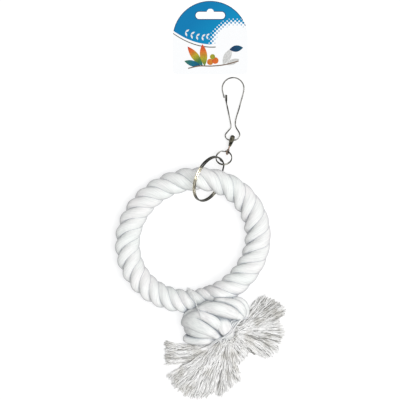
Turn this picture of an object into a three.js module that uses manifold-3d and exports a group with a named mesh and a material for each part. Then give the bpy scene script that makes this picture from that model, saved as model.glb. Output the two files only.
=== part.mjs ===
// A rope ring toy for a cage bird, lying flat. Millimetres, +Z up, the toy rests on z = 0.
// Cotton rope is bent into a ring and knotted, and its ends are frayed into a tassel.
// A large split ring, a small split ring and a swivel carry the snap hook it hangs by.

import * as THREE from 'three';
import { mergeVertices } from 'three/addons/utils/BufferGeometryUtils.js';
import Module from 'manifold-3d';

const wasm = await Module();
wasm.setup();

// Fits
const SEAT_GAP = 0.3; // between pieces that touch
const TURN_GAP = 0.5; // between the two turns of a split ring
const PIN_CLEARANCE = 0.2; // round the swivel's shank

// Rope
const ROPE_DIAMETER = 26.7;
const STRANDS = 3;
const LAY_LENGTH = 43.5; // one whole turn of the strands
const GROOVE_DEPTH = 4;
const STRAND_GAP = 0.5;
const PRESSED_FLAT = 0.6; // how far the rope's weight flattens its underside
const STEPS_PER_LAY = 12;

// Rope ring
const RING_CENTRE = new THREE.Vector2(-9.2, -43.4);
const RING_RADIUS = 68.6; // centre of the ring to the middle of the rope
const RING_OVAL = 3.3; // the ring is longer this way and shorter across it
const RING_OVAL_ANGLE = 24.4;
const RING_RIGHT_END = -74; // degrees from +X, where each end runs into the knot
const RING_LEFT_END = 299;
const RING_TOP = 78; // where the large split ring passes under the rope
const RING_TOP_SPREAD = 45;
const RING_KNOT_SPREAD = 75;
const RING_KNOT_LIFT = 9;
const ENDS_MEET = new THREE.Vector2(11, -102.5); // the two ends press together here
const ENDS_MEET_ANGLE = 52.4; // direction that the meeting face looks in

// Knot
const KNOT_CENTRE = new THREE.Vector2(16.5, -129.7);
const KNOT_ANGLE = 22; // the turn that crosses the front runs this way
const KNOT_ROPE_DIAMETER = 24.8; // pulled tight
const KNOT_HALF_LENGTH = 27; // to the middle of the rope
const KNOT_HALF_HEIGHT = 15.5;
const KNOT_OPEN = 26; // length of the turn that is tucked away underneath
const CORE_HALF_LENGTH = 27;
const CORE_HALF_WIDTH = 23;
const CORE_HALF_HEIGHT = 20;

// Tassel, six frayed bundles that fan out from one root
const TASSEL_ROOT = new THREE.Vector2(30.5, -147.2);
const TASSEL_ROOT_RADIUS = 4;
const TASSEL_ROOT_HEIGHT = 27;
const TASSEL_ROOT_FLOOR = 4;
const TASSEL_TIP_HEIGHT = 9;
const FLOOR_SHARE = 1 / 3; // part of a bundle's length over which its underside comes down to the floor
const EDGE_HEIGHT = 0.6; // height at a bundle's edges, as a share of its height in the middle
const BUNDLE_GAP = 0.5;
const LOCK_SPREAD = 11; // degrees from one lock of yarn to the next
const VALLEY_HEIGHT = 0.8; // between two locks, as a share of the height at a lock
const VALLEY_REACH = 0.94;
const BUNDLES = [
  { name: 'tassel_right_upper', from: 20, to: 52, reach: [58, 66, 48] },
  { name: 'tassel_right_lower', from: -40, to: 20, reach: [36, 60, 57] },
  { name: 'tassel_stub', from: -73, to: -40, reach: [36, 36, 28] },
  { name: 'tassel_lower', from: -103, to: -73, reach: [70, 62, 50] },
  { name: 'tassel_lower_left', from: -149, to: -103, reach: [81, 83, 66] },
  { name: 'tassel_left', from: -174, to: -149, reach: [71, 75, 80] },
];

// Large split ring, round the rope with its lowest wire close to the floor
const LARGE_RING_SHIFT = new THREE.Vector2(3.6, 0.3); // its centre, from the middle of the rope
const LARGE_RING_AXIS = new THREE.Vector3(0.777, -0.35, 0.523).normalize();
const LARGE_RING_RADIUS = 25.4;
const LARGE_RING_WIRE = 1.8;
const LARGE_RING_REST = 0.06; // floor to its lowest wire
const ROPE_OVER_RING = 2.2; // room between the rope and the wire under it
const LARGE_RING_STEP_AT = 20; // degrees, where the wire steps from one turn to the other
const LINK_CLEARANCE = 0.1; // between the wires where the small ring hangs in the large one
const LINK_AT = 38; // degrees round the large ring, where the small ring hangs
const LINK_DIRECTION = new THREE.Vector3(1.58, 4.95, -2.8).normalize();

// Small split ring
const SMALL_RING_AXIS = new THREE.Vector3(-0.045, 0.516, 0.855).normalize();
const SMALL_RING_RADIUS = 8.6;
const SMALL_RING_WIRE = 1.1;
const SMALL_RING_STEP_AT = 100;
const STEP_SPREAD = 15; // degrees each side of the step
const END_MARGIN = 4; // degrees from the step to each end of the wire

// Swivel: an eye on a shank, turning in a folded clip
const EYE_AT = 61.5; // degrees round the small ring, where the eye hangs
const PIN_DIRECTION = new THREE.Vector3(0.319, 0.948, -0.12).normalize();
const EYE_RADIUS = 2.85;
const EYE_WIRE = 1.5;
const EYE_TILT = 71;
const SHANK_DIAMETER = 1.6;
const HEAD_DIAMETER = 2.6;
const HEAD_THICKNESS = 0.8;
const CLIP_LENGTH = 12.5;
const CLIP_WIDTH = 4.9;
const CLIP_FOOT_WIDTH = 2.8;
const CLIP_HEIGHT = 4.6;
const CLIP_WALL = 0.7;
const CLIP_FOOT_WALL = 1.2;
const CLIP_ABOVE_EYE = 6.6; // eye centre to the underside of the clip's foot

// Snap hook, one bent wire; x runs across and y runs up the hook from the bottom of its eye
const HOOK_WIRE = 1.5;
const HOOK_TOP_RADIUS = 11.8;
const HOOK_TOP_CENTRE = new THREE.Vector2(1.6, 56.2);
const HOOK_EYE = [[-7, 5.2], [-6, 1.8], [-3.2, 0], [4.4, 0], [7.4, 2], [8.8, 6]];
const HOOK_NECK_LEFT = new THREE.Vector2(-0.8, 16.5);
const HOOK_NECK_RIGHT = new THREE.Vector2(4, 16.5);
const HOOK_SIDE = new THREE.Vector2(8.8, 36.8);
const HOOK_LATCH = new THREE.Vector2(-8.1, 45.8);
const HOOK_IN_CLIP = 7.2; // clip foot to the wire that it holds
const GATE_SHOULDER = new THREE.Vector2(-4.1, 33);
const GATE_PLATE_LENGTH = 6.8;
const GATE_PLATE_WIDTH = 2.2;
const GATE_PLATE_THICKNESS = 1.1;
const HOOK_REST_HEIGHT = 1.05; // middle of the wire at the top of the hook

// Header card
const CARD_CENTRE = new THREE.Vector2(10.2, 175.9); // centre of its domed top
const CARD_RADIUS = 41.1;
const CARD_BELOW_CENTRE = 39;
const CARD_CORNER = 5;
const CARD_THICKNESS = 0.6;
const SLOT_WIDTH = 32;
const SLOT_HEIGHT = 7.8;
const SLOT_RISE = 25.3; // dome centre to the middle of the slot
const SLOT_BUMP_WIDTH = 7.6;
const SLOT_BUMP_RISE = 3.3;

// Facets
const WIRE_SIDES = 8;
const SPLIT_WIRE_SIDES = 6;
const PIN_SIDES = 12;
const CORE_SIDES = 24;
const ENVELOPE_SIDES = 16;
const STRAND_BACK_STEPS = 5;
const BUNDLE_STEPS = 6;
const LARGE_TURN_STEPS = 30;
const SMALL_TURN_STEPS = 24;
const HOOK_TOP_STEP = 30; // degrees
const HOOK_STEPS = 84;
const GATE_STEPS = 20;
const CURVE_SEGMENTS = 8;
const CARD_SEGMENTS = 16;
const GAP_POINTS = 720; // points on a split ring's wire at which its gap is measured

const rad = THREE.MathUtils.degToRad;
const X_AXIS = new THREE.Vector3(1, 0, 0);
const Y_AXIS = new THREE.Vector3(0, 1, 0);
const UP = new THREE.Vector3(0, 0, 1);

// Materials
const finish = (color, roughness, metalness) => () =>
  new THREE.MeshStandardMaterial({ color, roughness, metalness });
const cotton = finish(0xecebe6, 0.95, 0);
const frayedCotton = finish(0xe2dfd6, 0.95, 0);
const nickel = finish(0xb9b7b0, 0.25, 1);
const brassyNickel = finish(0xb8a98a, 0.3, 1);
const printedCard = finish(0x1f8fc9, 0.45, 0);

// Solids
function toSolid(geometry) {
  const bare = geometry.clone();
  bare.deleteAttribute('normal');
  bare.deleteAttribute('uv');
  const merged = mergeVertices(bare, 1e-5);
  return new wasm.Manifold(new wasm.Mesh({
    numProp: 3,
    vertProperties: new Float32Array(merged.attributes.position.array),
    triVerts: new Uint32Array(merged.index.array),
  }));
}

function largestBody(solid) {
  return solid.decompose().sort((a, b) => b.volume() - a.volume())[0];
}

function toGeometry(solid) {
  const mesh = solid.getMesh();
  const geometry = new THREE.BufferGeometry();
  geometry.setAttribute('position', new THREE.BufferAttribute(mesh.vertProperties, 3));
  geometry.setIndex(new THREE.BufferAttribute(mesh.triVerts, 1));
  geometry.computeVertexNormals();
  return geometry;
}

// Joins rings of points, with as many points in each, into a closed body. The quads of the
// strips listed in otherWay are cut along their other diagonal.
function loft(rings, otherWay = []) {
  const count = rings[0].length;
  const positions = rings.flat().flatMap((p) => [p.x, p.y, p.z]);
  const faces = [];
  for (let j = 0; j + 1 < rings.length; j += 1) {
    for (let i = 0; i < count; i += 1) {
      const a = j * count + i;
      const b = j * count + ((i + 1) % count);
      const c = b + count;
      const d = a + count;
      faces.push(...(otherWay.includes(i) ? [a, b, d, b, c, d] : [a, b, c, a, c, d]));
    }
  }
  const last = (rings.length - 1) * count;
  for (let i = 1; i + 1 < count; i += 1) {
    faces.push(0, i + 1, i, last, last + i, last + i + 1);
  }
  const geometry = new THREE.BufferGeometry();
  geometry.setAttribute('position', new THREE.Float32BufferAttribute(positions, 3));
  geometry.setIndex(faces);
  geometry.computeVertexNormals();
  return geometry;
}

// Adds to each station on a route the two directions across it and the length run so far
function withFrames(stations, reference) {
  let run = 0;
  return stations.map((station, k) => {
    const before = stations[Math.max(k - 1, 0)].centre;
    const after = stations[Math.min(k + 1, stations.length - 1)].centre;
    const along = after.clone().sub(before).normalize();
    run += k > 0 ? station.centre.distanceTo(before) : 0;
    const first = reference.clone().addScaledVector(along, -reference.dot(along)).normalize();
    const second = new THREE.Vector3().crossVectors(along, first);
    return { ...station, along, first, second, run };
  });
}

function acrossPoint(station, x, y) {
  return station.centre.clone().addScaledVector(station.first, x).addScaledVector(station.second, y);
}

function tube(stations, radius, sides) {
  const rings = stations.map((station) => {
    const ring = [];
    for (let i = 0; i < sides; i += 1) {
      const angle = (2 * Math.PI * i) / sides;
      ring.push(acrossPoint(station, radius * Math.cos(angle), radius * Math.sin(angle)));
    }
    return ring;
  });
  return loft(rings);
}

// A round wire along a curve, its frames carried along so that it doesn't twist
function wire(curve, diameter, steps, sides) {
  const frames = curve.computeFrenetFrames(steps, false);
  const rings = [];
  for (let k = 0; k <= steps; k += 1) {
    const station = {
      centre: curve.getPointAt(k / steps),
      first: frames.normals[k],
      second: frames.binormals[k],
    };
    const ring = [];
    for (let i = 0; i < sides; i += 1) {
      const angle = (2 * Math.PI * i) / sides;
      ring.push(acrossPoint(station, (diameter / 2) * Math.cos(angle), (diameter / 2) * Math.sin(angle)));
    }
    rings.push(ring);
  }
  return loft(rings);
}

// The outline of one strand: a wedge of the rope with a rounded back, clear of its neighbours
function strandOutline(ropeDiameter) {
  const half = Math.PI / STRANDS;
  const shift = STRAND_GAP / 2 / Math.sin(half);
  const outer = ropeDiameter / 2 - shift;
  const groove = outer - GROOVE_DEPTH;
  const backCentre = (outer ** 2 - groove ** 2) / (2 * (outer - groove * Math.cos(half)));
  const backRadius = outer - backCentre;
  const sweep = Math.atan2(groove * Math.sin(half), groove * Math.cos(half) - backCentre);
  const outline = [[shift, 0]];
  for (let k = 0; k <= STRAND_BACK_STEPS; k += 1) {
    const angle = sweep * ((2 * k) / STRAND_BACK_STEPS - 1);
    outline.push([shift + backCentre + backRadius * Math.cos(angle), backRadius * Math.sin(angle)]);
  }
  return outline;
}

function strand(stations, number, ropeDiameter) {
  const outline = strandOutline(ropeDiameter);
  const rings = stations.map((station) => {
    const turn = 2 * Math.PI * (station.run / LAY_LENGTH + number / STRANDS);
    return outline.map(([x, y]) => acrossPoint(
      station,
      x * Math.cos(turn) - y * Math.sin(turn),
      x * Math.sin(turn) + y * Math.cos(turn),
    ));
  });
  return loft(rings, [outline.length - 1]);
}

// Rope ring
const ropeRadius = ROPE_DIAMETER / 2;
const largeRingPitch = LARGE_RING_WIRE + TURN_GAP; // from one turn of the wire to the other
const ringTopLift = LARGE_RING_REST + LARGE_RING_WIRE + largeRingPitch * LARGE_RING_AXIS.z + ROPE_OVER_RING;

function hump(angle, at, spread) {
  const share = (angle - at) / spread;
  return Math.abs(share) < 1 ? Math.cos((Math.PI / 2) * share) ** 2 : 0;
}

function ringPoint(angle) {
  const radius = RING_RADIUS + RING_OVAL * Math.cos(2 * rad(angle - RING_OVAL_ANGLE));
  const height = ropeRadius - PRESSED_FLAT
    + ringTopLift * hump(angle, RING_TOP, RING_TOP_SPREAD)
    + RING_KNOT_LIFT * hump(angle, RING_LEFT_END, RING_KNOT_SPREAD)
    + RING_KNOT_LIFT * hump(angle, RING_RIGHT_END, RING_KNOT_SPREAD);
  return new THREE.Vector3(
    RING_CENTRE.x + radius * Math.cos(rad(angle)),
    RING_CENTRE.y + radius * Math.sin(rad(angle)),
    height,
  );
}

function ringStations() {
  const length = rad(RING_LEFT_END - RING_RIGHT_END) * RING_RADIUS;
  const steps = Math.round((length / LAY_LENGTH) * STEPS_PER_LAY);
  const stations = [];
  for (let k = 0; k <= steps; k += 1) {
    const angle = RING_RIGHT_END + ((RING_LEFT_END - RING_RIGHT_END) * k) / steps;
    stations.push({ centre: ringPoint(angle) });
  }
  return withFrames(stations, UP);
}

// Knot: one turn of rope stands across a core of tucked rope
const knotAlong = new THREE.Vector3(Math.cos(rad(KNOT_ANGLE)), Math.sin(rad(KNOT_ANGLE)), 0);
const knotAcross = new THREE.Vector3(Math.sin(rad(KNOT_ANGLE)), -Math.cos(rad(KNOT_ANGLE)), 0);
const knotMiddle = new THREE.Vector3(
  KNOT_CENTRE.x,
  KNOT_CENTRE.y,
  KNOT_ROPE_DIAMETER / 2 - PRESSED_FLAT + KNOT_HALF_HEIGHT,
);

// The turn runs straight over the top, round both sides and back in underneath
function turnPoint(length) {
  const straight = KNOT_HALF_LENGTH - KNOT_HALF_HEIGHT;
  const past = Math.abs(length) - straight;
  const bend = THREE.MathUtils.clamp(past / KNOT_HALF_HEIGHT, 0, Math.PI);
  const below = Math.max(past - Math.PI * KNOT_HALF_HEIGHT, 0);
  const out = Math.min(Math.abs(length), straight) + KNOT_HALF_HEIGHT * Math.sin(bend) - below;
  return knotMiddle.clone()
    .addScaledVector(knotAlong, Math.sign(length) * out)
    .addScaledVector(UP, KNOT_HALF_HEIGHT * Math.cos(bend));
}

function turnStations() {
  const around = 4 * (KNOT_HALF_LENGTH - KNOT_HALF_HEIGHT) + 2 * Math.PI * KNOT_HALF_HEIGHT;
  const half = (around - KNOT_OPEN) / 2;
  const steps = Math.round(((2 * half) / LAY_LENGTH) * STEPS_PER_LAY);
  const stations = [];
  for (let k = 0; k <= steps; k += 1) {
    stations.push({ centre: turnPoint(half - (2 * half * k) / steps) });
  }
  return withFrames(stations, knotAcross);
}

function knotCore(grow) {
  const geometry = new THREE.SphereGeometry(1, CORE_SIDES, CORE_SIDES / 2);
  geometry.rotateX(Math.PI / 2);
  geometry.scale(CORE_HALF_LENGTH + grow, CORE_HALF_WIDTH + grow, CORE_HALF_HEIGHT + grow);
  geometry.rotateZ(rad(KNOT_ANGLE));
  geometry.translate(KNOT_CENTRE.x, KNOT_CENTRE.y, CORE_HALF_HEIGHT - PRESSED_FLAT);
  return toSolid(geometry);
}

const BEYOND = 1000; // past the toy in any direction
const underFloor = new THREE.BoxGeometry(BEYOND, BEYOND, BEYOND);
underFloor.translate(0, 0, -BEYOND / 2);
const belowFloor = toSolid(underFloor);

// A block that ends at an upright face through a point, and reaches away from it in a level direction
function blockPast(point, angle, clearance) {
  const reach = 2 * ROPE_DIAMETER;
  const geometry = new THREE.BoxGeometry(reach, reach, BEYOND);
  geometry.translate(reach / 2 + clearance, 0, 0);
  geometry.rotateZ(rad(angle));
  geometry.translate(point.x, point.y, 0);
  return toSolid(geometry);
}

// A tube round a rope, clear of it by the seat gap
function envelope(stations, diameter) {
  const radius = (diameter / 2 + SEAT_GAP) / Math.cos(Math.PI / ENVELOPE_SIDES);
  return toSolid(tube(stations, radius, ENVELOPE_SIDES));
}

const ringRoute = ringStations();
const ringMiddle = Math.round(ringRoute.length / 2);
const rightRoute = ringRoute.slice(0, ringMiddle + 2); // one step of the two halves is shared
const leftRoute = ringRoute.slice(ringMiddle);
const turnRoute = turnStations();
const turnEnvelope = envelope(turnRoute, KNOT_ROPE_DIAMETER);
const pastLeftEnd = blockPast(ENDS_MEET, ENDS_MEET_ANGLE, -SEAT_GAP / 2);
const pastRightEnd = blockPast(ENDS_MEET, ENDS_MEET_ANGLE + 180, -SEAT_GAP / 2);

function ringStrand(number) {
  const right = toSolid(strand(rightRoute, number, ROPE_DIAMETER)).subtract(pastRightEnd);
  const left = toSolid(strand(leftRoute, number, ROPE_DIAMETER)).subtract(pastLeftEnd);
  return toGeometry(largestBody(right.add(left).subtract(turnEnvelope).subtract(belowFloor)));
}

function turnStrand(number) {
  const solid = toSolid(strand(turnRoute, number, KNOT_ROPE_DIAMETER));
  return toGeometry(largestBody(solid.subtract(belowFloor)));
}

function coreSolid() {
  const reach = 2 * STEPS_PER_LAY; // more of each end than the core touches
  const rightEnd = envelope(rightRoute.slice(0, reach), ROPE_DIAMETER);
  const leftEnd = envelope(leftRoute.slice(-reach), ROPE_DIAMETER);
  return largestBody(knotCore(0)
    .subtract(turnEnvelope)
    .subtract(rightEnd.subtract(pastRightEnd))
    .subtract(leftEnd.subtract(pastLeftEnd))
    .subtract(belowFloor));
}

// Tassel
function tipRadius(reach, side) {
  return reach[0] * (1 - side) * (1 - 2 * side) + reach[1] * 4 * side * (1 - side)
    + reach[2] * side * (2 * side - 1);
}

// One fan of locks of yarn: ridges on top, flat below
function bundle({ from, to, reach }) {
  const columns = 2 * Math.round((to - from) / LOCK_SPREAD);
  const rings = [];
  for (let j = 0; j <= BUNDLE_STEPS; j += 1) {
    const share = j / BUNDLE_STEPS;
    const top = THREE.MathUtils.lerp(TASSEL_ROOT_HEIGHT, TASSEL_TIP_HEIGHT, Math.sin((share * Math.PI) / 2));
    const bottom = TASSEL_ROOT_FLOOR * Math.max(0, 1 - share / FLOOR_SHARE);
    const upper = [];
    const lower = [];
    for (let i = 0; i <= columns; i += 1) {
      const side = i / columns;
      const valley = i % 2 === 0;
      const tip = tipRadius(reach, side) * (valley ? VALLEY_REACH : 1);
      const radius = THREE.MathUtils.lerp(TASSEL_ROOT_RADIUS, tip, share);
      const edge = (BUNDLE_GAP / 2 / radius) * (1 - 2 * side);
      const angle = rad(THREE.MathUtils.lerp(from, to, side)) + edge;
      const x = TASSEL_ROOT.x + radius * Math.cos(angle);
      const y = TASSEL_ROOT.y + radius * Math.sin(angle);
      const middle = EDGE_HEIGHT + (1 - EDGE_HEIGHT) * Math.sin(Math.PI * side);
      const crown = middle * THREE.MathUtils.lerp(1, valley ? VALLEY_HEIGHT : 1, share);
      lower.push(new THREE.Vector3(x, y, bottom));
      upper.unshift(new THREE.Vector3(x, y, bottom + (top - bottom) * crown));
    }
    rings.push([...upper, ...lower]);
  }
  const solid = toSolid(loft(rings));
  return toGeometry(largestBody(solid.subtract(turnEnvelope).subtract(knotCore(SEAT_GAP))));
}

// Split rings: two flat turns of one wire, with a step from one to the other
class SplitRingCurve extends THREE.Curve {
  constructor(radius, pitch) {
    super();
    this.radius = radius;
    this.pitch = pitch;
    this.margin = STEP_SPREAD + END_MARGIN;
  }

  getPoint(t, target = new THREE.Vector3()) {
    const degrees = this.margin + t * (720 - 2 * this.margin);
    const rise = THREE.MathUtils.smoothstep(degrees, 360 - STEP_SPREAD, 360 + STEP_SPREAD) - 0.5;
    const angle = rad(degrees);
    return target.set(this.radius * Math.cos(angle), this.radius * Math.sin(angle), this.pitch * rise);
  }
}

function leastGap(name, curve, diameter, steps) {
  const points = curve.getSpacedPoints(steps);
  const apart = Math.ceil((3 * diameter * steps) / curve.getLength());
  let least = Infinity;
  points.forEach((point, k) => {
    for (let m = k + apart; m < points.length; m += 1) {
      least = Math.min(least, point.distanceTo(points[m]) - diameter);
    }
  });
  console.log(`${name}: least gap between its turns ${least.toFixed(2)} mm`);
}

function splitRing(name, radius, diameter, turnSteps) {
  const curve = new SplitRingCurve(radius, diameter + TURN_GAP);
  leastGap(name, curve, diameter, GAP_POINTS);
  return wire(curve, diameter, 2 * turnSteps, SPLIT_WIRE_SIDES);
}

// The point at an angle round a tilted ring, on the middle line between its two turns
function pointOnRing(centre, axis, radius, degrees) {
  const tilt = new THREE.Quaternion().setFromUnitVectors(UP, axis);
  return X_AXIS.clone()
    .applyAxisAngle(UP, rad(degrees))
    .multiplyScalar(radius)
    .applyQuaternion(tilt)
    .add(centre);
}

const ropeTop = ringPoint(RING_TOP);
const largeRingSlope = Math.sqrt(1 - LARGE_RING_AXIS.z ** 2);
const largeRingCentre = new THREE.Vector3(
  ropeTop.x + LARGE_RING_SHIFT.x,
  ropeTop.y + LARGE_RING_SHIFT.y,
  LARGE_RING_REST + LARGE_RING_WIRE / 2 + (largeRingPitch / 2) * LARGE_RING_AXIS.z
    + LARGE_RING_RADIUS * largeRingSlope,
);
const linkSlack = LARGE_RING_WIRE + TURN_GAP / 2 + SMALL_RING_WIRE / 2 + LINK_CLEARANCE;
const smallRingCentre = pointOnRing(largeRingCentre, LARGE_RING_AXIS, LARGE_RING_RADIUS, LINK_AT)
  .addScaledVector(LINK_DIRECTION, SMALL_RING_RADIUS - linkSlack);
const eyeCentre = pointOnRing(smallRingCentre, SMALL_RING_AXIS, SMALL_RING_RADIUS, EYE_AT);


// Swivel, built along +Y from the eye's centre
const clipFoot = CLIP_ABOVE_EYE;
const clipTop = CLIP_ABOVE_EYE + CLIP_LENGTH;

const cylinder = (diameter, length) =>
  new THREE.CylinderGeometry(diameter / 2, diameter / 2, length, PIN_SIDES);

function eyeSolid() {
  const ring = new THREE.TorusGeometry(EYE_RADIUS, EYE_WIRE / 2, WIRE_SIDES, 2 * PIN_SIDES);
  ring.rotateY(rad(EYE_TILT));
  const shankFrom = EYE_RADIUS;
  const shankTo = clipFoot + CLIP_FOOT_WALL + SEAT_GAP;
  const shank = cylinder(SHANK_DIAMETER, shankTo - shankFrom);
  shank.translate(0, (shankFrom + shankTo) / 2, 0);
  const head = cylinder(HEAD_DIAMETER, HEAD_THICKNESS);
  head.translate(0, shankTo + HEAD_THICKNESS / 2, 0);
  return toSolid(ring).add(toSolid(shank)).add(toSolid(head));
}

function plate(shape, depth, curveSegments) {
  return new THREE.ExtrudeGeometry(shape, { depth, bevelEnabled: false, curveSegments });
}

// The side of the clip: square at its foot, round at its top
function clipSide(foot, top, height) {
  const shape = new THREE.Shape();
  const radius = height / 2;
  shape.moveTo(-radius, foot);
  shape.lineTo(radius, foot);
  shape.lineTo(radius, top - radius);
  shape.absarc(0, top - radius, radius, 0, Math.PI, false);
  shape.closePath();
  return shape;
}

function clipSolid() {
  const shape = clipSide(clipFoot, clipTop, CLIP_HEIGHT);
  shape.holes.push(clipSide(clipFoot + CLIP_FOOT_WALL, clipTop - CLIP_WALL, CLIP_HEIGHT - 2 * CLIP_WALL));
  const side = plate(shape, CLIP_WIDTH, CURVE_SEGMENTS);
  side.translate(0, 0, -CLIP_WIDTH / 2);
  side.rotateY(Math.PI / 2);
  const face = new THREE.Shape();
  face.moveTo(-CLIP_FOOT_WIDTH / 2, clipFoot);
  face.lineTo(CLIP_FOOT_WIDTH / 2, clipFoot);
  face.lineTo(CLIP_WIDTH / 2, clipFoot + CLIP_LENGTH / 2);
  face.lineTo(CLIP_WIDTH / 2, clipTop - CLIP_WIDTH / 2);
  face.absarc(0, clipTop - CLIP_WIDTH / 2, CLIP_WIDTH / 2, 0, Math.PI, false);
  face.lineTo(-CLIP_WIDTH / 2, clipFoot + CLIP_LENGTH / 2);
  face.closePath();
  const front = plate(face, 2 * CLIP_HEIGHT, CURVE_SEGMENTS);
  front.translate(0, 0, -CLIP_HEIGHT);
  const bore = cylinder(SHANK_DIAMETER + 2 * PIN_CLEARANCE, 4 * CLIP_FOOT_WALL);
  bore.translate(0, clipFoot, 0);
  return toSolid(side).intersect(toSolid(front)).subtract(toSolid(bore));
}

// Snap hook
const flat = ([x, y]) => new THREE.Vector3(x, y, 0);
const flatPoint = (point, higher = 0) => new THREE.Vector3(point.x, point.y + higher, 0);

function hookFrame() {
  const top = [];
  for (let degrees = 0; degrees <= 180; degrees += HOOK_TOP_STEP) {
    top.push(new THREE.Vector3(
      HOOK_TOP_CENTRE.x + HOOK_TOP_RADIUS * Math.cos(rad(degrees)),
      HOOK_TOP_CENTRE.y + HOOK_TOP_RADIUS * Math.sin(rad(degrees)),
      0,
    ));
  }
  const points = [
    flatPoint(HOOK_NECK_LEFT, -HOOK_WIRE),
    flatPoint(HOOK_NECK_LEFT, -2 * HOOK_WIRE),
    ...HOOK_EYE.map(flat),
    flatPoint(HOOK_NECK_RIGHT),
    flatPoint(HOOK_SIDE),
    ...top,
    flatPoint(HOOK_LATCH),
  ];
  return wire(new THREE.CatmullRomCurve3(points, false, 'centripetal'), HOOK_WIRE, HOOK_STEPS, WIRE_SIDES);
}

// The free leg of the wire springs inward; its flattened tip rests against the end of the hook
function gateSolid() {
  const root = flatPoint(HOOK_NECK_LEFT, SEAT_GAP - HOOK_WIRE);
  const latch = flatPoint(HOOK_LATCH);
  const offset = HOOK_WIRE / 2 + SEAT_GAP + GATE_PLATE_WIDTH / 2;
  const tip = new THREE.Vector3(latch.x + offset, latch.y, 0);
  const lower = new THREE.Vector3(tip.x, tip.y - GATE_PLATE_LENGTH / 2, 0);
  const points = [root, flatPoint(HOOK_NECK_LEFT), flatPoint(GATE_SHOULDER), lower, tip];
  const curve = new THREE.CatmullRomCurve3(points, false, 'centripetal');
  const flattened = new THREE.BoxGeometry(GATE_PLATE_WIDTH, GATE_PLATE_LENGTH, GATE_PLATE_THICKNESS);
  flattened.translate(tip.x, tip.y, 0);
  return toSolid(wire(curve, HOOK_WIRE, GATE_STEPS, WIRE_SIDES)).add(toSolid(flattened));
}

// Header card
function cardGeometry() {
  const { x, y } = CARD_CENTRE;
  const bottom = y - CARD_BELOW_CENTRE;
  const shape = new THREE.Shape();
  shape.absarc(x, y, CARD_RADIUS, 0, Math.PI, false);
  const left = x - CARD_RADIUS + CARD_CORNER;
  const right = x + CARD_RADIUS - CARD_CORNER;
  shape.absarc(left, bottom + CARD_CORNER, CARD_CORNER, Math.PI, 1.5 * Math.PI, false);
  shape.absarc(right, bottom + CARD_CORNER, CARD_CORNER, -Math.PI / 2, 0, false);
  shape.closePath();
  const slot = new THREE.Path();
  const middle = y + SLOT_RISE;
  const end = SLOT_HEIGHT / 2;
  const half = SLOT_WIDTH / 2 - end;
  const bump = SLOT_BUMP_WIDTH / 2;
  const shoulder = middle + end;
  slot.absarc(x + half, middle, end, -Math.PI / 2, Math.PI / 2, false);
  slot.lineTo(x + bump, shoulder);
  slot.absellipse(x, shoulder, bump, SLOT_BUMP_RISE, 0, Math.PI, false);
  slot.absarc(x - half, middle, end, Math.PI / 2, 1.5 * Math.PI, false);
  slot.closePath();
  shape.holes.push(slot);
  return plate(shape, CARD_THICKNESS, CARD_SEGMENTS);
}

// Assembly
function named(name, geometry, material) {
  const mesh = new THREE.Mesh(geometry, material());
  mesh.name = name;
  return mesh;
}

// A group at a point, with its Z or Y axis turned to a direction
function placed(position, axis, direction, ...members) {
  const group = new THREE.Group();
  group.position.copy(position);
  group.quaternion.setFromUnitVectors(axis, direction);
  group.add(...members);
  return group;
}

function spun(degrees, mesh) {
  mesh.rotation.z = rad(degrees);
  return mesh;
}

const toy = new THREE.Group();
toy.name = 'bird_rope_toy';

for (let number = 0; number < STRANDS; number += 1) {
  toy.add(named(`ring_strand_${number + 1}`, ringStrand(number), cotton));
}
for (let number = 0; number < STRANDS; number += 1) {
  toy.add(named(`knot_strand_${number + 1}`, turnStrand(number), cotton));
}
toy.add(named('knot_core', toGeometry(coreSolid()), cotton));
for (const shape of BUNDLES) {
  toy.add(named(shape.name, bundle(shape), frayedCotton));
}

const largeRing = splitRing('large_split_ring', LARGE_RING_RADIUS, LARGE_RING_WIRE, LARGE_TURN_STEPS);
const smallRing = splitRing('small_split_ring', SMALL_RING_RADIUS, SMALL_RING_WIRE, SMALL_TURN_STEPS);
toy.add(placed(
  largeRingCentre,
  UP,
  LARGE_RING_AXIS,
  spun(LARGE_RING_STEP_AT, named('large_split_ring', largeRing, brassyNickel)),
));
toy.add(placed(
  smallRingCentre,
  UP,
  SMALL_RING_AXIS,
  spun(SMALL_RING_STEP_AT, named('small_split_ring', smallRing, nickel)),
));

toy.add(placed(
  eyeCentre,
  Y_AXIS,
  PIN_DIRECTION,
  named('swivel_eye', toGeometry(eyeSolid()), brassyNickel),
  named('swivel_clip', toGeometry(clipSolid()), nickel),
));

// The hook's wire lies on the inside of the clip's lower wall and comes down to the floor at its top
const hookFoot = eyeCentre.clone().addScaledVector(PIN_DIRECTION, clipFoot + HOOK_IN_CLIP);
hookFoot.z += HOOK_WIRE / 2 + SEAT_GAP - (CLIP_HEIGHT / 2 - CLIP_WALL);
const hookRise = HOOK_TOP_CENTRE.y + HOOK_TOP_RADIUS;
const hookUp = new THREE.Vector3(0, 1, (HOOK_REST_HEIGHT - hookFoot.z) / hookRise).normalize();
toy.add(placed(
  hookFoot,
  Y_AXIS,
  hookUp,
  named('hook_frame', hookFrame(), nickel),
  named('hook_gate', toGeometry(gateSolid()), nickel),
));

toy.add(named('header_card', cardGeometry(), printedCard));

export default toy;
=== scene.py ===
import math

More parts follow.
